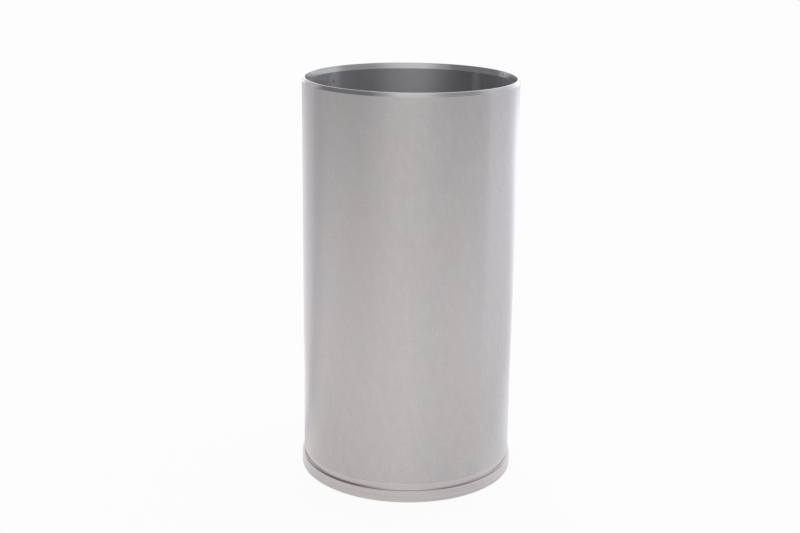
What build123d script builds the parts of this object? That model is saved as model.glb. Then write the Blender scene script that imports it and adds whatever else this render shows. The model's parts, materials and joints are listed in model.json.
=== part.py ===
"""Dry cylinder liner: one iron tube, turned, honed and ground, standing on its flange.

The origin is the centre of the flange's end face. +Z runs up the bore's axis to the plain
end, which goes into the cylinder block first. Every size is in millimetres.
"""

import os

from build123d import *

# Bore and barrel
BORE_DIAMETER = 102.0
WALL = 2.0  # of the ground barrel, which is pressed into the block
LENGTH = 200.4  # over everything, from the flange's end face to the plain end

# Flange, which drops into the block's counterbore
FLANGE_HEIGHT = 6.0
FLANGE_PROJECTION = 1.1  # beyond the barrel, all round
FLANGE_EDGE_RADIUS = 0.2  # on both of its outer edges
BORE_MOUTH_CHAMFER = 0.5  # 45 degrees, where the bore meets the flange's end face

# Relief groove over the shoulder, where the grinding wheel runs out
RELIEF_HEIGHT = 3.5  # up from the shoulder
RELIEF_DEPTH = 0.15  # below the ground barrel, which it runs out to at 45 degrees
RELIEF_CORNER_RADIUS = 0.6  # where the groove's floor meets the shoulder

# Plain end: a long lead-in outside, a flat land and a slow lead into the bore
LEAD_IN_HEIGHT = 1.9
LEAD_IN_DEPTH = 1.0  # taken off the barrel's radius
BORE_LEAD_HEIGHT = 2.9
BORE_LEAD_DEPTH = 0.6  # added to the bore's radius
LAND_EDGE_RADIUS = 0.15  # on both edges of the land

# Radii and heights that follow from the sizes above
BORE_RADIUS = BORE_DIAMETER / 2
BARREL_RADIUS = BORE_RADIUS + WALL
FLANGE_RADIUS = BARREL_RADIUS + FLANGE_PROJECTION
RELIEF_RADIUS = BARREL_RADIUS - RELIEF_DEPTH
RELIEF_TOP = FLANGE_HEIGHT + RELIEF_HEIGHT
LEAD_IN_START = LENGTH - LEAD_IN_HEIGHT
BORE_LEAD_START = LENGTH - BORE_LEAD_HEIGHT


def half_section():
    """Return the wall's section, drawn with X as the radius and Y as the height."""
    shoulder = Line(
        (FLANGE_RADIUS, FLANGE_HEIGHT),
        (RELIEF_RADIUS + RELIEF_CORNER_RADIUS, FLANGE_HEIGHT),
    )
    corner = TangentArc(
        shoulder @ 1,
        (RELIEF_RADIUS, FLANGE_HEIGHT + RELIEF_CORNER_RADIUS),
        tangent=shoulder % 1,
    )
    rest = Polyline(
        corner @ 1,
        (RELIEF_RADIUS, RELIEF_TOP - RELIEF_DEPTH),
        (BARREL_RADIUS, RELIEF_TOP),
        (BARREL_RADIUS, LEAD_IN_START),
        (BARREL_RADIUS - LEAD_IN_DEPTH, LENGTH),
        (BORE_RADIUS + BORE_LEAD_DEPTH, LENGTH),
        (BORE_RADIUS, BORE_LEAD_START),
        (BORE_RADIUS, 0),
        (FLANGE_RADIUS, 0),
        shoulder @ 0,
    )
    return make_face(Curve() + [shoulder, corner, rest])


def broken_edges(section):
    """Round the flange's rim and the land's two edges, and chamfer the bore's mouth."""
    section = fillet(section.vertices().group_by(Axis.Y)[-1], LAND_EDGE_RADIUS)
    section = fillet(section.vertices().group_by(Axis.X)[-1], FLANGE_EDGE_RADIUS)
    mouth = section.vertices().group_by(Axis.Y)[0].sort_by(Axis.X)[0]
    return chamfer(mouth, BORE_MOUTH_CHAMFER)


def cylinder_liner():
    """Turn the section about the bore's axis."""
    section = Plane.XZ * broken_edges(half_section())
    return revolve(section, axis=Axis.Z)


os.makedirs("parts", exist_ok=True)
export_step(cylinder_liner(), "parts/cylinder_liner.step")
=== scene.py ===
"""Dresses the cylinder liner: a turned, honed and ground iron tube on a pale studio floor.

The file is laid out as an add-on and run as a script. The liner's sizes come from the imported
model's mounts, so the dressed piece is the same turned body with finer rounds, smoother walls
and a finish of its own on each surface.
"""

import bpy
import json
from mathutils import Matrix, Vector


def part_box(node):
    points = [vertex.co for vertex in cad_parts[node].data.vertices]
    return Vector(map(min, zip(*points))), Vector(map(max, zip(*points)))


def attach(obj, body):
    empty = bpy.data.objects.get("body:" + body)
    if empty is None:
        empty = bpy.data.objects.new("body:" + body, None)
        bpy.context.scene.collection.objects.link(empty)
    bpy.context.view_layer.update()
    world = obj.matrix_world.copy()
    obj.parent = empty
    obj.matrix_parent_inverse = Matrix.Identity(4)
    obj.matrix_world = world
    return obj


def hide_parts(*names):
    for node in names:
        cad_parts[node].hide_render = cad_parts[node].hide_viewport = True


bl_info = {
    "name": "Cylinder liner",
    "version": (1, 0, 0),
    "blender": (4, 5, 0),
    "location": "View3D > Sidebar > Liner",
    "description": "Builds a dry cylinder liner and the studio it stands in",
    "category": "Add Mesh",
}

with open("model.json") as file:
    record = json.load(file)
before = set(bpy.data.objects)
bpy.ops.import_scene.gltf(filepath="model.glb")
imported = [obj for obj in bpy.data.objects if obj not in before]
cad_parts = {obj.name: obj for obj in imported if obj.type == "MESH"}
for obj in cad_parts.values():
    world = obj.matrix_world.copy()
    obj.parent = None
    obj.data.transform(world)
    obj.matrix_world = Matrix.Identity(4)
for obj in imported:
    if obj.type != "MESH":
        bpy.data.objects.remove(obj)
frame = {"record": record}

import json
import math

import bmesh
import bpy
from mathutils import Matrix, Vector

LINER_NODE = "cylinder_liner"
BODY = "root"
MM = 0.001


def mount(name):
    """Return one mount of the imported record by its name."""
    return next(m for m in frame["record"]["mounts"] if m["name"] == name)


def radius_of(name):
    """Return a round mount's radius in metres."""
    return mount(name)["dims"]["r_mm"] * MM


def span_of(name):
    """Return the heights at which a round mount starts and ends, in metres."""
    centre = mount(name)["pos_m"][2]
    half = mount(name)["dims"]["length_mm"] * MM / 2
    return centre - half, centre + half


CAD_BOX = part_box(LINER_NODE)
LINER_LENGTH = CAD_BOX[1].z - CAD_BOX[0].z
BORE_START, BORE_LEAD_START = span_of("bore")
RELIEF_TOP, LEAD_IN_START = span_of("barrel_seat")
SHOULDER_HEIGHT = mount("shoulder")["pos_m"][2]


# ---------------------------------------------------------------- what a user can change


def length(name, description, default):
    """Return a size property in metres."""
    return bpy.props.FloatProperty(
        name=name, description=description, default=default, min=0.0, precision=5, unit="LENGTH"
    )


def share(name, description, default):
    """Return a property that runs from 0 to 1."""
    return bpy.props.FloatProperty(
        name=name, description=description, default=default, min=0.0, max=1.0, subtype="FACTOR"
    )


def gain(name, description, default):
    """Return a property for a part added to 1, or taken off it."""
    return bpy.props.FloatProperty(
        name=name, description=description, default=default, min=-1.0, max=2.0
    )


def linear(hex_colour):
    """Turn an sRGB hex colour into linear red, green and blue."""
    channels = [int(hex_colour[i : i + 2], 16) / 255 for i in (1, 3, 5)]
    return tuple(c / 12.92 if c <= 0.04045 else ((c + 0.055) / 1.055) ** 2.4 for c in channels)


def colour(name, description, hex_colour):
    """Return a colour property, kept linear."""
    return bpy.props.FloatVectorProperty(
        name=name,
        description=description,
        default=linear(hex_colour),
        min=0.0,
        max=1.0,
        size=3,
        subtype="COLOR",
    )


class LinerSizes(bpy.types.PropertyGroup):
    """The liner's turned section."""

    bore_radius: length("Bore radius", "Radius of the honed bore", radius_of("bore"))
    barrel_radius: length("Barrel radius", "Radius of the ground barrel", radius_of("barrel_seat"))
    flange_radius: length("Flange radius", "Radius of the flange", radius_of("flange_rim"))
    flange_edge: length("Flange edge", "Radius on the flange's outer edges", 0.2 * MM)
    relief_depth: length("Relief depth", "Depth of the groove over the shoulder", 0.15 * MM)
    relief_corner: length("Relief corner", "Radius between shoulder and groove", 0.6 * MM)
    lead_in_depth: length("Lead-in depth", "What the outside lead-in takes off", 1.0 * MM)
    bore_lead_depth: length("Bore lead depth", "What the lead into the bore adds", 0.6 * MM)
    rim_edge: length("Rim edge", "Radius where the outside lead-in meets the land", 0.25 * MM)
    land_edge: length("Land edge", "Radius on the land's inner edge and bore's mouth", 0.15 * MM)
    soft_edge: length("Soft edge", "Radius where a lead meets a straight wall", 0.3 * MM)
    segments: bpy.props.IntProperty(
        name="Segments", description="Faces round the liner", default=360, min=24, max=720
    )


class LinerFinish(bpy.types.PropertyGroup):
    """The bare iron's colours, and how rough each cut leaves it."""

    ground: colour("Ground iron", "Colour of the ground barrel", "#D0CBCA")
    ground_cool: colour("Cool ground iron", "The barrel's colour in its cooler patches", "#CECACA")
    honed: colour("Honed iron", "Colour of the honed bore", "#C3C0C2")
    honed_dark: colour("Dark honed iron", "Colour down in the hone's scratches", "#BBB8BB")
    turned: colour("Turned iron", "Colour of the turned flange and leads", "#DAD4D4")
    turned_dark: colour("Dark turned iron", "Colour down in the tool's feed lines", "#CCC6C7")
    # Colour of the painted highlight on the turned edges.
    painted_edge_highlight: colour("Painted edge highlight", "Colour of the edges that handling has brightened", "#E0DDDD")
    # Colour of the painted shade on the shoulder and in the groove's corner.
    painted_corner_shade: colour("Painted corner shade", "Colour of the film left on the shoulder", "#7A7675")
    ground_roughness: share("Ground roughness", "Roughness of the ground barrel", 0.27)
    honed_roughness: share("Honed roughness", "Roughness of the honed bore", 0.5)
    turned_roughness: share("Turned roughness", "Roughness of the turned faces", 0.18)


class LinerStudio(bpy.types.PropertyGroup):
    """The floor, and the ring of light and shade round it."""

    floor: colour("Floor", "Colour of the paper floor", "#FAFAFA")
    # Colours of the floor's painted reflection, a glow that only the metal sees: painted light and
    # painted shade round the liner.
    painted_front_reflection: colour("Front floor", "The floor's tint in front, in the metal", "#DAD6D3")
    painted_side_reflection: colour("Side floor", "The floor's tint at the sides, in the metal", "#CCCACA")
    painted_dim_reflection: colour("Dim floor", "The floor's tint on the far right", "#BDBEC3")
    painted_shaded_reflection: colour("Shaded floor", "The floor's tint in the left flag's shade", "#ACACB3")
    painted_back_reflection: colour("Back floor", "The floor's tint behind, in the metal", "#E7E7F1")
    # What the pools of painted light and painted shade add to the floor's reflection, or take off
    # it.
    left_shade: gain("Left shade", "What the left flag takes off the floor's glow", -0.15)
    left_back_shade: gain("Left back shade", "What is taken off it behind on the left", -0.12)
    right_back_shade: gain("Right back shade", "What is taken off it behind on the right", -0.09)
    right_shade: gain("Right shade", "What the right flag takes off it close by", -0.08)
    foot_shade: gain("Foot shade", "What is taken off it at the foot's left", -0.08)
    back_pool: gain("Back pool", "What is added to the glow close behind the liner", 0.7)
    far_pool: gain("Far pool", "What is added to the glow far behind the liner", 0.42)
    right_pool: gain("Right pool", "What is added to the glow far off on the right", 0.14)
    floor_radius: length("Floor radius", "Radius of the round paper floor", 4.0)
    # Painted shade in the floor's reflection: dimmer at the liner's foot and far off.
    near_floor: share("Near floor", "Brightness of the floor's glow at the liner's foot", 0.85)
    far_floor: share("Far floor", "Brightness of the floor's glow far off", 0.38)
    floor_strength: bpy.props.FloatProperty(
        name="Floor strength", description="Strength of the glow the metal shows", default=1.72
    )
    floor_glow: share("Floor glow", "How much of the floor's white is glow and not shade", 0.93)
    mirrored_glow: share("Mirrored glow", "The same share, as the metal mirrors the floor", 0.5)
    # The sheet is a painted brighter band of light in the floor's reflection, on the right.
    painted_band_edge: bpy.props.FloatProperty(
        name="Sheet edge",
        description="Where the brighter sheet on the right begins, along Y",
        default=-0.038,
        unit="LENGTH",
    )
    painted_band_gain: share("Sheet gain", "How much brighter that sheet glows near the liner", 0.08)
    far_painted_band_gain: share("Far sheet gain", "How much brighter it glows far off", 0.4)
    backdrop: colour("Backdrop", "Lit paper behind the liner", "#FFFFFF")
    front: colour("Front light", "Soft light behind the camera", "#C1C6C8")
    left_light: colour("Left light", "Weaker light beside the backdrop", "#B0B3B7")
    dark_flag: colour("Dark flag", "Grey card that shades the left", "#6D7073")
    grey_flag: colour("Grey flag", "Lighter grey card, mostly on the right", "#8E9295")
    right_light: colour("Right light", "Soft light beside the backdrop", "#BBC1C6")
    overhead: colour("Overhead light", "Softbox over the liner", "#FFFFFF")
    ring_strength: bpy.props.FloatProperty(
        name="Ring strength", description="Strength of the ring of light", default=1.4, min=0.0
    )
    overhead_strength: bpy.props.FloatProperty(
        name="Overhead strength", description="Strength of the softbox", default=0.95, min=0.0
    )


# ---------------------------------------------------------------- the turned piece


ROUND_STEPS = 5
FLAT_SUPPORT = 0.06 * MM
FINISH_ORDER = ("ground", "honed", "turned")


def round_corner(bm, vert, radius):
    """Round one corner of a wire outline to a radius."""
    ways = [(edge.other_vert(vert).co - vert.co).normalized() for edge in vert.link_edges]
    turn = math.pi - ways[0].angle(ways[1])
    bmesh.ops.bevel(
        bm,
        geom=[vert],
        offset=radius * math.tan(turn / 2),
        offset_type="OFFSET",
        segments=ROUND_STEPS,
        profile=0.5,
        affect="VERTICES",
        material=-1,
    )


def hold_flats(bm, support):
    """Add a point close to both ends of each long edge, so that its wall shades flat."""
    for edge in [edge for edge in bm.edges if edge.calc_length() > 4 * support]:
        for vert in list(edge.verts):
            bmesh.utils.edge_split(edge, vert, support / edge.calc_length())


def section_corners(sizes):
    """Return the section's corners and their radii, from the bore's mouth and round outside."""
    barrel = sizes.barrel_radius
    groove = barrel - sizes.relief_depth
    return [
        (sizes.bore_radius + BORE_START, 0.0, sizes.land_edge),
        (sizes.flange_radius, 0.0, sizes.flange_edge),
        (sizes.flange_radius, SHOULDER_HEIGHT, sizes.flange_edge),
        (groove, SHOULDER_HEIGHT, sizes.relief_corner),
        (groove, RELIEF_TOP - sizes.relief_depth, 0.0),
        (barrel, RELIEF_TOP, 0.0),
        (barrel, LEAD_IN_START, sizes.soft_edge),
        (barrel - sizes.lead_in_depth, LINER_LENGTH, sizes.rim_edge),
        (sizes.bore_radius + sizes.bore_lead_depth, LINER_LENGTH, sizes.land_edge),
        (sizes.bore_radius, BORE_LEAD_START, sizes.soft_edge),
        (sizes.bore_radius, BORE_START, sizes.land_edge),
    ]


def turned_body(sizes):
    """Return a bmesh of the liner: its section, rounded and spun about the bore's axis."""
    bm = bmesh.new()
    corners = section_corners(sizes)
    verts = [bm.verts.new((radius, 0.0, height)) for radius, height, _ in corners]
    for vert, following in zip(verts, verts[1:] + verts[:1]):
        bm.edges.new((vert, following))
    for vert, (_, _, radius) in zip(verts, corners):
        if radius > 0.0:
            round_corner(bm, vert, radius)
    hold_flats(bm, FLAT_SUPPORT)
    bmesh.ops.spin(
        bm,
        geom=bm.verts[:] + bm.edges[:],
        cent=(0.0, 0.0, 0.0),
        axis=(0.0, 0.0, 1.0),
        angle=math.tau,
        steps=sizes.segments,
        use_merge=True,
    )
    bmesh.ops.remove_doubles(bm, verts=bm.verts[:], dist=0.001 * MM)
    bmesh.ops.recalc_face_normals(bm, faces=bm.faces[:])
    return bm


def finish_of(face, sizes):
    """Say which cut left this face: the grinder's, the hone's or the lathe's."""
    centre = face.calc_center_median()
    radius = centre.xy.length
    slack = 0.01 * MM
    if RELIEF_TOP <= centre.z <= LEAD_IN_START and abs(radius - sizes.barrel_radius) < slack:
        return "ground"
    if BORE_START <= centre.z <= BORE_LEAD_START and abs(radius - sizes.bore_radius) < slack:
        return "honed"
    return "turned"


# ---------------------------------------------------------------- materials


SMEAR_LEAN = 3.3  # radians a metre, which leans a smear 10 degrees on the barrel
HONE_TWIST = 1 / (radius_of("bore") * math.tan(math.radians(30)))  # radians a metre

# What each mark adds to the ground iron's shade, and the level that keeps its mean.
SMEAR_SHADE = 0.15
GROOVE_SHADE = 0.04
PATCH_SHADE = 0.03
SCRATCH_SHADE = -0.05
GROUND_LEVEL = 0.89

# Places on the turned section: radius, nothing, height.
# The edges that carry a painted highlight, then how close to them it is full and where it has
# gone.
HIGHLIGHT_EDGES = (
    (radius_of("flange_rim"), 0.0, 0.0),
    (radius_of("flange_rim"), 0.0, SHOULDER_HEIGHT),
    (radius_of("barrel_seat") - 1.0 * MM, 0.0, LINER_LENGTH),
    (radius_of("bore") + 0.6 * MM, 0.0, LINER_LENGTH),
)
HIGHLIGHT_FULL, HIGHLIGHT_GONE = 0.15 * MM, 0.4 * MM
# Painted shade on the shoulder and in the groove's corner: its middle, how close it is full, where
# it has gone, and its most.
SHOULDER_MIDDLE = (radius_of("barrel_seat") + 0.45 * MM, 0.0, SHOULDER_HEIGHT)
CORNER_SHADE_FULL, CORNER_SHADE_GONE = 0.3 * MM, 0.65 * MM
CORNER_SHADE_MOST = 0.4

# Marks of use, and patches of painted light down the bore: each has its centre and its reach in
# millimetres, and what it adds to 1.
# Two patches of painted light down the bore.
BORE_PAINTED_LIGHT = (
    ((-39.2, 32.8, 192.0), (6.5, 6.5, 26.0), 0.28),
    ((33.4, 38.6, 186.0), (4.0, 4.0, 34.0), 0.4),
)
BORE_SPOT = ((-39.6, 32.2, 193.0), (1.4, 1.4, 1.5), -0.45)
LEAD_NICK = ((46.1, 22.6, 198.8), (0.7, 0.7, 2.4), -0.5)


def node(tree, kind, settings=None, inputs=None):
    """Add one node, set its properties, and give its sockets values or links."""
    made = tree.nodes.new(kind)
    for name, value in (settings or {}).items():
        setattr(made, name, value)
    for socket, value in (inputs or {}).items():
        if isinstance(value, bpy.types.NodeSocket):
            tree.links.new(value, made.inputs[socket])
        else:
            made.inputs[socket].default_value = value
    return made


def empty_material(name):
    """Return a new node material with nothing in its tree."""
    material = bpy.data.materials.new(name)
    material.use_nodes = True
    material.node_tree.nodes.clear()
    return material


def metal_surface(tree, base, roughness, anisotropy, normal):
    """End a tree in bare metal whose fine grooves run round the bore's axis."""
    groove = node(tree, "ShaderNodeTangent", {"direction_type": "RADIAL", "axis": "Z"})
    surface = node(
        tree,
        "ShaderNodeBsdfPrincipled",
        inputs={
            "Base Color": base,
            "Metallic": 1.0,
            "Roughness": roughness,
            "Anisotropic": anisotropy,
            "Anisotropic Rotation": 0.25,
            "Tangent": groove.outputs["Tangent"],
            "Normal": normal,
        },
    )
    node(tree, "ShaderNodeOutputMaterial", inputs={"Surface": surface.outputs["BSDF"]})


def drawn_at(across, along):
    """Return the scale that draws a pattern at these sizes in millimetres, across and along Z."""
    return (1 / (across * MM), 1 / (across * MM), 1 / (along * MM))


def spot(tree, place, centre, reach):
    """Return a soft spot that is 1 in its middle, from its centre and reach in millimetres."""
    at = node(
        tree,
        "ShaderNodeMapping",
        {"vector_type": "TEXTURE"},
        {
            "Vector": place,
            "Location": [part * MM for part in centre],
            "Scale": [part * MM for part in reach],
        },
    )
    away = node(tree, "ShaderNodeVectorMath", {"operation": "LENGTH"}, {0: at.outputs[0]})
    return node(
        tree,
        "ShaderNodeMapRange",
        {"interpolation_type": "SMOOTHSTEP"},
        {"Value": away.outputs["Value"], "From Min": 1.0, "From Max": 0.1},
    ).outputs[0]


def marked(tree, base, place, marks):
    """Lighten or darken a colour by its marks, each a centre, a reach and a change."""
    for centre, reach, change in marks:
        shade = node(
            tree,
            "ShaderNodeMath",
            {"operation": "MULTIPLY_ADD"},
            {0: spot(tree, place, centre, reach), 1: change, 2: 1.0},
        )
        base = node(
            tree,
            "ShaderNodeVectorMath",
            {"operation": "SCALE"},
            {0: base, "Scale": shade.outputs[0]},
        ).outputs[0]
    return base


def ground_iron(finish):
    """Centreless-ground grey iron: an even satin with a slow gleam up and down.

    The wheel's grooves run round the barrel some 0.03 mm apart, too fine to show, so they are
    drawn 0.9 mm apart and faint. Wiping has left feathery smears 2 to 3 mm wide that lean a
    little, and air has turned the iron cooler in patches.
    """
    material = empty_material("ground_grey_iron")
    tree = material.node_tree
    place = node(tree, "ShaderNodeTexCoord").outputs["Object"]
    height = node(tree, "ShaderNodeSeparateXYZ", inputs={"Vector": place}).outputs["Z"]
    grooves_at = node(
        tree, "ShaderNodeMapping", inputs={"Vector": place, "Scale": drawn_at(70, 0.9)}
    )
    grooves = node(
        tree,
        "ShaderNodeTexNoise",
        inputs={"Vector": grooves_at.outputs[0], "Scale": 1.0, "Detail": 2.0},
    )
    lean = node(
        tree, "ShaderNodeMath", {"operation": "MULTIPLY"}, {0: height, 1: SMEAR_LEAN}
    )
    leaning = node(
        tree,
        "ShaderNodeVectorRotate",
        {"rotation_type": "Z_AXIS"},
        {"Vector": place, "Angle": lean.outputs[0]},
    )
    smears_at = node(
        tree,
        "ShaderNodeMapping",
        inputs={"Vector": leaning.outputs[0], "Scale": drawn_at(2.6, 8)},
    )
    smears = node(
        tree,
        "ShaderNodeTexNoise",
        inputs={"Vector": smears_at.outputs[0], "Scale": 1.0, "Detail": 3.0, "Distortion": 0.4},
    )
    patches_at = node(
        tree, "ShaderNodeMapping", inputs={"Vector": place, "Scale": drawn_at(17, 30)}
    )
    patches = node(
        tree,
        "ShaderNodeTexNoise",
        inputs={"Vector": patches_at.outputs[0], "Scale": 1.0, "Detail": 2.0},
    )
    cooler = node(
        tree,
        "ShaderNodeMapRange",
        {"interpolation_type": "SMOOTHSTEP"},
        {"Value": patches.outputs["Fac"], "From Min": 0.4, "From Max": 0.62},
    )
    iron = node(
        tree,
        "ShaderNodeMix",
        {"data_type": "RGBA"},
        {
            0: cooler.outputs[0],
            6: (*finish.ground, 1.0),
            7: (*finish.ground_cool, 1.0),
        },
    )
    scratches_at = node(
        tree,
        "ShaderNodeMapping",
        inputs={"Vector": leaning.outputs[0], "Scale": drawn_at(0.6, 14)},
    )
    scratches = node(
        tree,
        "ShaderNodeTexNoise",
        inputs={"Vector": scratches_at.outputs[0], "Scale": 1.0, "Detail": 1.0},
    )
    scratched = node(
        tree,
        "ShaderNodeMapRange",
        inputs={"Value": scratches.outputs["Fac"], "From Min": 0.66, "From Max": 0.8},
    )
    shade = GROUND_LEVEL
    for mark, change in (
        (smears.outputs["Fac"], SMEAR_SHADE),
        (grooves.outputs["Fac"], GROOVE_SHADE),
        (patches.outputs["Fac"], PATCH_SHADE),
        (scratched.outputs[0], SCRATCH_SHADE),
    ):
        shade = node(
            tree,
            "ShaderNodeMath",
            {"operation": "MULTIPLY_ADD"},
            {0: mark, 1: change, 2: shade},
        ).outputs[0]
    base = node(
        tree,
        "ShaderNodeVectorMath",
        {"operation": "SCALE"},
        {0: iron.outputs[2], "Scale": shade},
    )
    roughness = node(
        tree,
        "ShaderNodeMath",
        {"operation": "MULTIPLY_ADD"},
        {0: smears.outputs["Fac"], 1: 0.06, 2: finish.ground_roughness - 0.03},
    )
    relief = node(
        tree,
        "ShaderNodeMath",
        {"operation": "MULTIPLY_ADD"},
        {0: scratched.outputs[0], 1: -0.4, 2: grooves.outputs["Fac"]},
    )
    bump = node(
        tree,
        "ShaderNodeBump",
        inputs={"Strength": 1.0, "Distance": 0.002 * MM, "Height": relief.outputs[0]},
    )
    metal_surface(
        tree, base.outputs[0], roughness.outputs[0], anisotropy=0.65, normal=bump.outputs[0]
    )
    return material


def honed_iron(finish):
    """Honed grey iron: darker to look into, with a cross-hatch that holds the oil.

    The stones' scratches climb at 30 degrees, both ways round. They are under 0.1 mm apart, too
    fine to show, so they are drawn 0.5 mm apart.
    """
    material = empty_material("honed_grey_iron")
    tree = material.node_tree
    place = node(tree, "ShaderNodeTexCoord").outputs["Object"]
    height = node(tree, "ShaderNodeSeparateXYZ", inputs={"Vector": place}).outputs["Z"]
    lays = []
    for way in (HONE_TWIST, -HONE_TWIST):
        climb = node(
            tree, "ShaderNodeMath", {"operation": "MULTIPLY"}, {0: height, 1: way}
        )
        along = node(
            tree,
            "ShaderNodeVectorRotate",
            {"rotation_type": "Z_AXIS"},
            {"Vector": place, "Angle": climb.outputs[0]},
        )
        lay_at = node(
            tree,
            "ShaderNodeMapping",
            inputs={"Vector": along.outputs[0], "Scale": drawn_at(1.0, 60)},
        )
        lays.append(
            node(
                tree,
                "ShaderNodeTexNoise",
                inputs={"Vector": lay_at.outputs[0], "Scale": 1.0, "Detail": 3.0},
            )
        )
    # Where either lay is deep there is a scratch.
    hatch = node(
        tree,
        "ShaderNodeMath",
        {"operation": "MINIMUM"},
        {0: lays[0].outputs["Fac"], 1: lays[1].outputs["Fac"]},
    )
    plateau = node(
        tree,
        "ShaderNodeMapRange",
        {"interpolation_type": "SMOOTHSTEP"},
        {"Value": hatch.outputs[0], "From Min": 0.3, "From Max": 0.5},
    )
    oil_at = node(
        tree, "ShaderNodeMapping", inputs={"Vector": place, "Scale": drawn_at(14, 30)}
    )
    oil = node(
        tree,
        "ShaderNodeTexNoise",
        inputs={"Vector": oil_at.outputs[0], "Scale": 1.0, "Detail": 2.0},
    )
    base = node(
        tree,
        "ShaderNodeMix",
        {"data_type": "RGBA"},
        {
            0: plateau.outputs[0],
            6: (*finish.honed_dark, 1.0),
            7: (*finish.honed, 1.0),
        },
    )
    roughness = node(
        tree,
        "ShaderNodeMath",
        {"operation": "MULTIPLY_ADD"},
        {0: oil.outputs["Fac"], 1: 0.1, 2: finish.honed_roughness - 0.05},
    )
    bump = node(
        tree,
        "ShaderNodeBump",
        inputs={"Strength": 1.0, "Distance": 0.003 * MM, "Height": plateau.outputs[0]},
    )
    # The bore's patches of painted light, and its dark spot.
    iron = marked(tree, base.outputs[2], place, (*BORE_PAINTED_LIGHT, BORE_SPOT))
    metal_surface(tree, iron, roughness.outputs[0], anisotropy=0.85, normal=bump.outputs[0])
    return material


def turned_iron(finish):
    """Lathe-turned grey iron: brighter than the ground barrel, with the tool's lines round it.

    The tool fed some 0.15 mm a turn, too fine to show, so the lines are drawn 0.7 mm apart. They
    follow the section, so that flat, straight and tapered faces all carry them. A painted
    highlight brightens the flange's and the land's edges in places, and painted shade darkens
    the shoulder and the groove's corner.
    """
    material = empty_material("turned_grey_iron")
    tree = material.node_tree
    place = node(tree, "ShaderNodeTexCoord").outputs["Object"]
    parts = node(tree, "ShaderNodeSeparateXYZ", inputs={"Vector": place})
    across = node(
        tree,
        "ShaderNodeCombineXYZ",
        inputs={"X": parts.outputs["X"], "Y": parts.outputs["Y"]},
    )
    radius = node(
        tree, "ShaderNodeVectorMath", {"operation": "LENGTH"}, {0: across.outputs[0]}
    )
    feed = node(
        tree,
        "ShaderNodeMath",
        {"operation": "SUBTRACT"},
        {0: parts.outputs["Z"], 1: radius.outputs["Value"]},
    )
    fed = node(
        tree,
        "ShaderNodeCombineXYZ",
        inputs={
            "X": parts.outputs["X"],
            "Y": parts.outputs["Y"],
            "Z": feed.outputs[0],
        },
    )
    lines_at = node(
        tree, "ShaderNodeMapping", inputs={"Vector": fed.outputs[0], "Scale": drawn_at(45, 0.7)}
    )
    lines = node(
        tree,
        "ShaderNodeTexNoise",
        inputs={"Vector": lines_at.outputs[0], "Scale": 1.0, "Detail": 2.0},
    )
    crest = node(
        tree,
        "ShaderNodeMapRange",
        inputs={"Value": lines.outputs["Fac"], "From Min": 0.3, "From Max": 0.6},
    )
    iron = node(
        tree,
        "ShaderNodeMix",
        {"data_type": "RGBA"},
        {
            0: crest.outputs[0],
            6: (*finish.turned_dark, 1.0),
            7: (*finish.turned, 1.0),
        },
    )
    section = node(
        tree,
        "ShaderNodeCombineXYZ",
        inputs={"X": radius.outputs["Value"], "Z": parts.outputs["Z"]},
    )
    away = None
    for edge in HIGHLIGHT_EDGES:
        reach = node(
            tree,
            "ShaderNodeVectorMath",
            {"operation": "DISTANCE"},
            {0: section.outputs[0], 1: edge},
        )
        away = reach.outputs["Value"] if away is None else node(
            tree, "ShaderNodeMath", {"operation": "MINIMUM"}, {0: away, 1: reach.outputs["Value"]}
        ).outputs[0]
    # A painted highlight along the turned edges, broken up by noise.
    highlight_near = node(
        tree,
        "ShaderNodeMapRange",
        inputs={"Value": away, "From Min": HIGHLIGHT_GONE, "From Max": HIGHLIGHT_FULL},
    )
    from_shoulder = node(
        tree,
        "ShaderNodeVectorMath",
        {"operation": "DISTANCE"},
        {0: section.outputs[0], 1: SHOULDER_MIDDLE},
    )
    # Painted shade on the shoulder and in the groove's corner.
    corner_shade_amount = node(
        tree,
        "ShaderNodeMapRange",
        inputs={
            "Value": from_shoulder.outputs["Value"],
            "From Min": CORNER_SHADE_GONE,
            "From Max": CORNER_SHADE_FULL,
            "To Max": CORNER_SHADE_MOST,
        },
    )
    broken_at = node(
        tree, "ShaderNodeMapping", inputs={"Vector": place, "Scale": drawn_at(6, 6)}
    )
    broken = node(
        tree,
        "ShaderNodeTexNoise",
        inputs={"Vector": broken_at.outputs[0], "Scale": 1.0, "Detail": 3.0},
    )
    edge_highlight = node(
        tree,
        "ShaderNodeMath",
        {"operation": "MULTIPLY"},
        {0: highlight_near.outputs[0], 1: broken.outputs["Fac"]},
    )
    # Mix in the painted highlight.
    base = node(
        tree,
        "ShaderNodeMix",
        {"data_type": "RGBA"},
        {0: edge_highlight.outputs[0], 6: iron.outputs[2], 7: (*finish.painted_edge_highlight, 1.0)},
    )
    # Mix in the painted shade.
    corner_shaded = node(
        tree,
        "ShaderNodeMix",
        {"data_type": "RGBA"},
        {0: corner_shade_amount.outputs[0], 6: base.outputs[2], 7: (*finish.painted_corner_shade, 1.0)},
    )
    roughness = node(
        tree,
        "ShaderNodeMath",
        {"operation": "MULTIPLY_ADD"},
        {0: broken.outputs["Fac"], 1: 0.06, 2: finish.turned_roughness - 0.03},
    )
    bump = node(
        tree,
        "ShaderNodeBump",
        inputs={"Strength": 1.0, "Distance": 0.002 * MM, "Height": lines.outputs["Fac"]},
    )
    iron = marked(tree, corner_shaded.outputs[2], place, (LEAD_NICK,))
    metal_surface(tree, iron, roughness.outputs[0], anisotropy=0.6, normal=bump.outputs[0])
    return material


FINISHES = {"ground": ground_iron, "honed": honed_iron, "turned": turned_iron}


# ---------------------------------------------------------------- the studio


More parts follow.
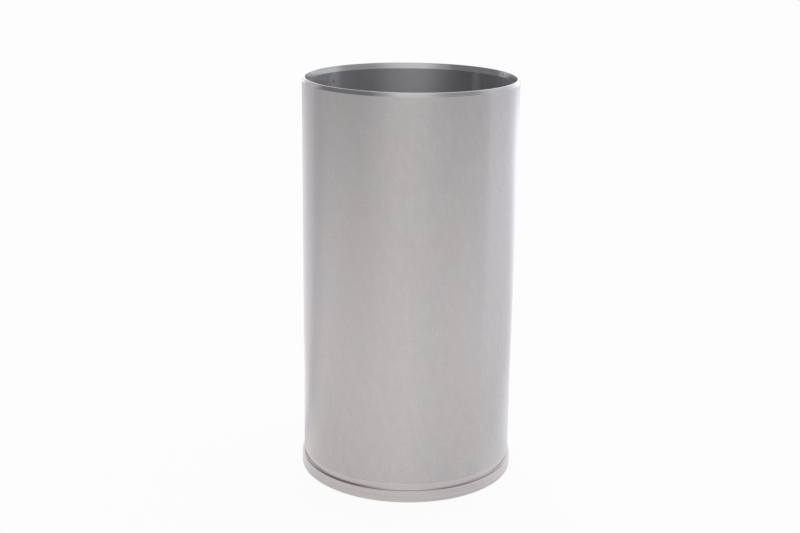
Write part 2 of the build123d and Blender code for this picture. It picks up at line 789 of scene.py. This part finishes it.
def round_colour(tree, way, ring, studio):
    """Return a colour that runs round Z through a ring's stops, from degrees and colours."""
    from_front = node(
        tree, "ShaderNodeMapping", inputs={"Vector": way, "Rotation": (0.0, 0.0, math.pi / 2)}
    )
    round_axis = node(
        tree,
        "ShaderNodeTexGradient",
        {"gradient_type": "RADIAL"},
        {"Vector": from_front.outputs[0]},
    )
    tint = node(tree, "ShaderNodeValToRGB", inputs={"Fac": round_axis.outputs["Fac"]})
    ramp = tint.color_ramp
    ramp.interpolation = "EASE"
    while len(ramp.elements) < len(ring):
        ramp.elements.new(1.0)
    for stop, (degrees, name) in zip(ramp.elements, ring):
        stop.position = 0.5 + degrees / 360
        stop.color = (*getattr(studio, name), 1.0)
    return tint.outputs["Color"]


def seen_straight(tree, path):
    """Return 1 on what the camera sees by itself or through glass, and 0 elsewhere."""
    return node(
        tree,
        "ShaderNodeMath",
        {"operation": "MAXIMUM"},
        {0: path.outputs["Is Camera Ray"], 1: path.outputs["Is Transmission Ray"]},
    ).outputs[0]


# The colour of the floor's painted reflection, in degrees round from the camera towards the right.
FLOOR_ROUND = (
    (-180, "painted_back_reflection"),
    (-154, "painted_back_reflection"),
    (-127, "painted_side_reflection"),
    (-115, "painted_shaded_reflection"),
    (-90, "painted_side_reflection"),
    (-70, "painted_side_reflection"),
    (-5, "painted_front_reflection"),
    (30, "painted_side_reflection"),
    (60, "painted_side_reflection"),
    (102, "painted_dim_reflection"),
    (132, "painted_dim_reflection"),
    (158, "painted_back_reflection"),
)
# Pools of painted light and painted shade in the floor's reflection, in metres: the middle, how
# far out each is full, and where it has faded.
PAINTED_POOLS = (
    ("left_shade", (-0.85, 0.25), 0.12, 0.5),
    ("left_back_shade", (-0.33, 0.44), 0.07, 0.25),
    ("right_back_shade", (0.47, 0.34), 0.08, 0.28),
    ("right_shade", (0.13, -0.06), 0.03, 0.12),
    ("foot_shade", (-0.11, -0.02), 0.02, 0.06),
    ("back_pool", (0.0, 0.1), 0.06, 0.17),
    ("far_pool", (0.66, 0.84), 0.15, 0.45),
    ("right_pool", (1.35, 0.0), 0.15, 0.4),
)
# Where the floor's painted reflection dims, in metres out from the liner or from the far fade's
# middle.
NEAR_DIM, NEAR_FULL = 0.055, 0.25
FAR_MIDDLE = (0.12, 0.3, 0.0)
FAR_FULL, FAR_DIM = 0.4, 1.6
# The painted brighter band on the right of the floor's reflection: its softness, its fade-in, and
# where it goes from near to far.
PAINTED_BAND_SOFTNESS = 2 * MM
PAINTED_BAND_FADE_IN = 0.03
PAINTED_BAND_NEAR, PAINTED_BAND_FAR = 0.3, 0.7


def floor_paper(studio):
    """Seamless paper: matt and white, it keeps the liner's soft shadow.

    To the camera its glow is a plain white. The metal mirrors a painted reflection of it instead:
    tinted by direction, with pools of painted light and painted shade, painted dimmer at the
    liner's foot and far off, and with a painted brighter band on the right.
    """
    material = empty_material("seamless_paper")
    tree = material.node_tree
    place = node(tree, "ShaderNodeTexCoord").outputs["Object"]
    away = node(tree, "ShaderNodeVectorMath", {"operation": "LENGTH"}, {0: place})
    # Painted shade: the floor's reflection dims close to the liner's foot and far off.
    near = node(
        tree,
        "ShaderNodeMapRange",
        inputs={
            "Value": away.outputs["Value"],
            "From Min": NEAR_DIM,
            "From Max": NEAR_FULL,
            "To Min": studio.floor_strength * studio.near_floor,
            "To Max": studio.floor_strength,
        },
    )
    from_middle = node(
        tree, "ShaderNodeVectorMath", {"operation": "DISTANCE"}, {0: place, 1: FAR_MIDDLE}
    )
    far = node(
        tree,
        "ShaderNodeMapRange",
        inputs={
            "Value": from_middle.outputs["Value"],
            "From Min": FAR_FULL,
            "From Max": FAR_DIM,
            "To Min": 1.0,
            "To Max": studio.far_floor,
        },
    )
    pool = node(
        tree, "ShaderNodeMath", {"operation": "MULTIPLY"}, {0: near.outputs[0], 1: far.outputs[0]}
    )
    # Each pool is painted light or painted shade in the floor's reflection.
    for name, centre, inner, outer in PAINTED_POOLS:
        from_centre = node(
            tree, "ShaderNodeVectorMath", {"operation": "DISTANCE"}, {0: place, 1: (*centre, 0.0)}
        )
        lit = node(
            tree,
            "ShaderNodeMapRange",
            {"interpolation_type": "SMOOTHSTEP"},
            {
                "Value": from_centre.outputs["Value"],
                "From Min": inner,
                "From Max": outer,
                "To Min": 1.0 + getattr(studio, name),
                "To Max": 1.0,
            },
        )
        pool = node(
            tree,
            "ShaderNodeMath",
            {"operation": "MULTIPLY"},
            {0: pool.outputs[0], 1: lit.outputs[0]},
        )
    parts = node(tree, "ShaderNodeSeparateXYZ", inputs={"Vector": place})
    # A painted brighter band of light on the right of the floor's reflection.
    behind = node(
        tree,
        "ShaderNodeMapRange",
        inputs={
            "Value": parts.outputs["Y"],
            "From Min": studio.painted_band_edge - PAINTED_BAND_SOFTNESS,
            "From Max": studio.painted_band_edge + PAINTED_BAND_SOFTNESS,
        },
    )
    rightward = node(
        tree,
        "ShaderNodeMapRange",
        inputs={"Value": parts.outputs["X"], "From Min": 0.0, "From Max": PAINTED_BAND_FADE_IN},
    )
    extra = node(
        tree,
        "ShaderNodeMapRange",
        inputs={
            "Value": away.outputs["Value"],
            "From Min": PAINTED_BAND_NEAR,
            "From Max": PAINTED_BAND_FAR,
            "To Min": studio.painted_band_gain,
            "To Max": studio.far_painted_band_gain,
        },
    )
    covered = node(
        tree,
        "ShaderNodeMath",
        {"operation": "MULTIPLY"},
        {0: behind.outputs[0], 1: rightward.outputs[0]},
    )
    painted_band = node(
        tree,
        "ShaderNodeMath",
        {"operation": "MULTIPLY_ADD"},
        {0: covered.outputs[0], 1: extra.outputs[0], 2: 1.0},
    )
    brightness = node(
        tree,
        "ShaderNodeMath",
        {"operation": "MULTIPLY"},
        {0: pool.outputs[0], 1: painted_band.outputs[0]},
    )
    # The floor's painted reflection: a glow that only glossy rays see.
    mirrored = node(
        tree,
        "ShaderNodeEmission",
        inputs={
            "Color": round_colour(tree, place, FLOOR_ROUND, studio),
            "Strength": brightness.outputs[0],
        },
    )
    path = node(tree, "ShaderNodeLightPath")
    white = node(
        tree,
        "ShaderNodeEmission",
        inputs={"Color": (1.0, 1.0, 1.0, 1.0), "Strength": seen_straight(tree, path)},
    )
    glow = node(
        tree,
        "ShaderNodeMixShader",
        inputs={0: path.outputs["Is Glossy Ray"], 1: white.outputs[0], 2: mirrored.outputs[0]},
    )
    glow_share = node(
        tree,
        "ShaderNodeMath",
        {"operation": "MULTIPLY_ADD"},
        {
            0: path.outputs["Is Glossy Ray"],
            1: studio.mirrored_glow - studio.floor_glow,
            2: studio.floor_glow,
        },
    )
    paper = node(tree, "ShaderNodeBsdfDiffuse", inputs={"Color": (*studio.floor, 1.0)})
    both = node(
        tree,
        "ShaderNodeMixShader",
        inputs={0: glow_share.outputs[0], 1: paper.outputs[0], 2: glow.outputs[0]},
    )
    node(tree, "ShaderNodeOutputMaterial", inputs={"Surface": both.outputs[0]})
    return material


# ---------------------------------------------------------------- operators


class LINER_OT_add_liner(bpy.types.Operator):
    """Turn the liner and give each of its surfaces the finish of its cut"""

    bl_idname = "liner.add_liner"
    bl_label = "Add liner"

    def execute(self, context):
        sizes = context.scene.liner_sizes
        bm = turned_body(sizes)
        for face in bm.faces:
            face.smooth = True
            face.material_index = FINISH_ORDER.index(finish_of(face, sizes))
        mesh = bpy.data.meshes.new("liner_body")
        bm.to_mesh(mesh)
        bm.free()
        for finish in FINISH_ORDER:
            mesh.materials.append(FINISHES[finish](context.scene.liner_finish))
        liner = bpy.data.objects.new("liner_body", mesh)
        context.scene.collection.objects.link(liner)
        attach(liner, BODY)
        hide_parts(LINER_NODE)
        return {"FINISHED"}


CAMERA_PLACE = Vector((0.0, -0.6464, 0.2920))
CAMERA_PITCH = math.radians(16.192)  # down
CAMERA_YAW = math.radians(0.378)  # to the left
CAMERA_ROLL = math.radians(0.722)
CAMERA_LENS = 59.92  # millimetres, as the sensor's width is
CAMERA_SENSOR = 36.0


def add_camera(scene):
    """Stand the camera a little above the rim, looking down the barrel's front."""
    data = bpy.data.cameras.new("camera")
    data.lens = CAMERA_LENS
    data.sensor_width = CAMERA_SENSOR
    data.sensor_fit = "HORIZONTAL"
    camera = bpy.data.objects.new("camera", data)
    turn = (
        Matrix.Rotation(CAMERA_YAW, 4, "Z")
        @ Matrix.Rotation(math.pi / 2 - CAMERA_PITCH, 4, "X")
        @ Matrix.Rotation(CAMERA_ROLL, 4, "Z")
    )
    camera.matrix_world = Matrix.Translation(CAMERA_PLACE) @ turn
    scene.collection.objects.link(camera)
    scene.camera = camera


# What stands where round the liner, in degrees from the camera towards the right.
RING = (
    (-180, "backdrop"),
    (-168, "backdrop"),
    (-140, "left_light"),
    (-127, "left_light"),
    (-110, "dark_flag"),
    (-50, "dark_flag"),
    (-40, "grey_flag"),
    (-13, "front"),
    (9, "front"),
    (50, "grey_flag"),
    (77, "grey_flag"),
    (100, "right_light"),
    (120, "right_light"),
    (158, "backdrop"),
)
OVERHEAD_FROM = math.radians(55)  # above the horizon
OVERHEAD_FULL = math.radians(70)


def studio_world(scene):
    """Ring the liner with soft light and grey flags, and show the camera plain white."""
    studio = scene.liner_studio
    world = bpy.data.worlds.new("studio")
    scene.world = world
    world.use_nodes = True
    tree = world.node_tree
    tree.nodes.clear()
    way = node(tree, "ShaderNodeTexCoord").outputs["Generated"]
    ring_light = node(
        tree,
        "ShaderNodeBackground",
        inputs={
            "Color": round_colour(tree, way, RING, studio),
            "Strength": studio.ring_strength,
        },
    )
    overhead = node(
        tree,
        "ShaderNodeBackground",
        inputs={"Color": (*studio.overhead, 1.0), "Strength": studio.overhead_strength},
    )
    height = node(tree, "ShaderNodeSeparateXYZ", inputs={"Vector": way})
    rise = node(
        tree,
        "ShaderNodeMapRange",
        {"interpolation_type": "SMOOTHSTEP"},
        {
            "Value": height.outputs["Z"],
            "From Min": math.sin(OVERHEAD_FROM),
            "From Max": math.sin(OVERHEAD_FULL),
        },
    )
    lights = node(
        tree,
        "ShaderNodeMixShader",
        inputs={0: rise.outputs["Result"], 1: ring_light.outputs[0], 2: overhead.outputs[0]},
    )
    path = node(tree, "ShaderNodeLightPath")
    white = node(tree, "ShaderNodeBackground", inputs={"Color": (1, 1, 1, 1), "Strength": 1.0})
    shown = node(
        tree,
        "ShaderNodeMixShader",
        inputs={0: seen_straight(tree, path), 1: lights.outputs[0], 2: white.outputs[0]},
    )
    node(tree, "ShaderNodeOutputWorld", inputs={"Surface": shown.outputs[0]})


class LINER_OT_set_stage(bpy.types.Operator):
    """Lay the floor, hang the lights and stand the camera"""

    bl_idname = "liner.set_stage"
    bl_label = "Set stage"

    def execute(self, context):
        scene = context.scene
        studio = scene.liner_studio
        bm = bmesh.new()
        bmesh.ops.create_circle(bm, cap_ends=True, segments=96, radius=studio.floor_radius)
        mesh = bpy.data.meshes.new("floor")
        bm.to_mesh(mesh)
        bm.free()
        mesh.materials.append(floor_paper(studio))
        floor = bpy.data.objects.new("floor", mesh)
        scene.collection.objects.link(floor)
        studio_world(scene)
        add_camera(scene)
        scene.view_settings.view_transform = "Standard"
        return {"FINISHED"}


class LINER_PT_sidebar(bpy.types.Panel):
    """Lists the liner's steps and what can be changed"""

    bl_idname = "LINER_PT_sidebar"
    bl_label = "Cylinder liner"
    bl_space_type = "VIEW_3D"
    bl_region_type = "UI"
    bl_category = "Liner"

    def draw(self, context):
        for group in ("liner_sizes", "liner_finish", "liner_studio"):
            settings = getattr(context.scene, group)
            column = self.layout.column()
            for name in settings.__annotations__:
                column.prop(settings, name)
        self.layout.operator(LINER_OT_add_liner.bl_idname)
        self.layout.operator(LINER_OT_set_stage.bl_idname)


GROUPS = {"liner_sizes": LinerSizes, "liner_finish": LinerFinish, "liner_studio": LinerStudio}
CLASSES = (*GROUPS.values(), LINER_OT_add_liner, LINER_OT_set_stage, LINER_PT_sidebar)


def register():
    """Make the classes and the scene's settings known."""
    for cls in CLASSES:
        bpy.utils.register_class(cls)
    for name, group in GROUPS.items():
        setattr(bpy.types.Scene, name, bpy.props.PointerProperty(type=group))


def unregister():
    """Take them away again."""
    for name in GROUPS:
        delattr(bpy.types.Scene, name)
    for cls in reversed(CLASSES):
        bpy.utils.unregister_class(cls)


def main():
    """Build the liner and its stage."""
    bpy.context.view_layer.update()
    register()
    bpy.ops.liner.add_liner()
    bpy.ops.liner.set_stage()


if __name__ == "__main__":
    main()
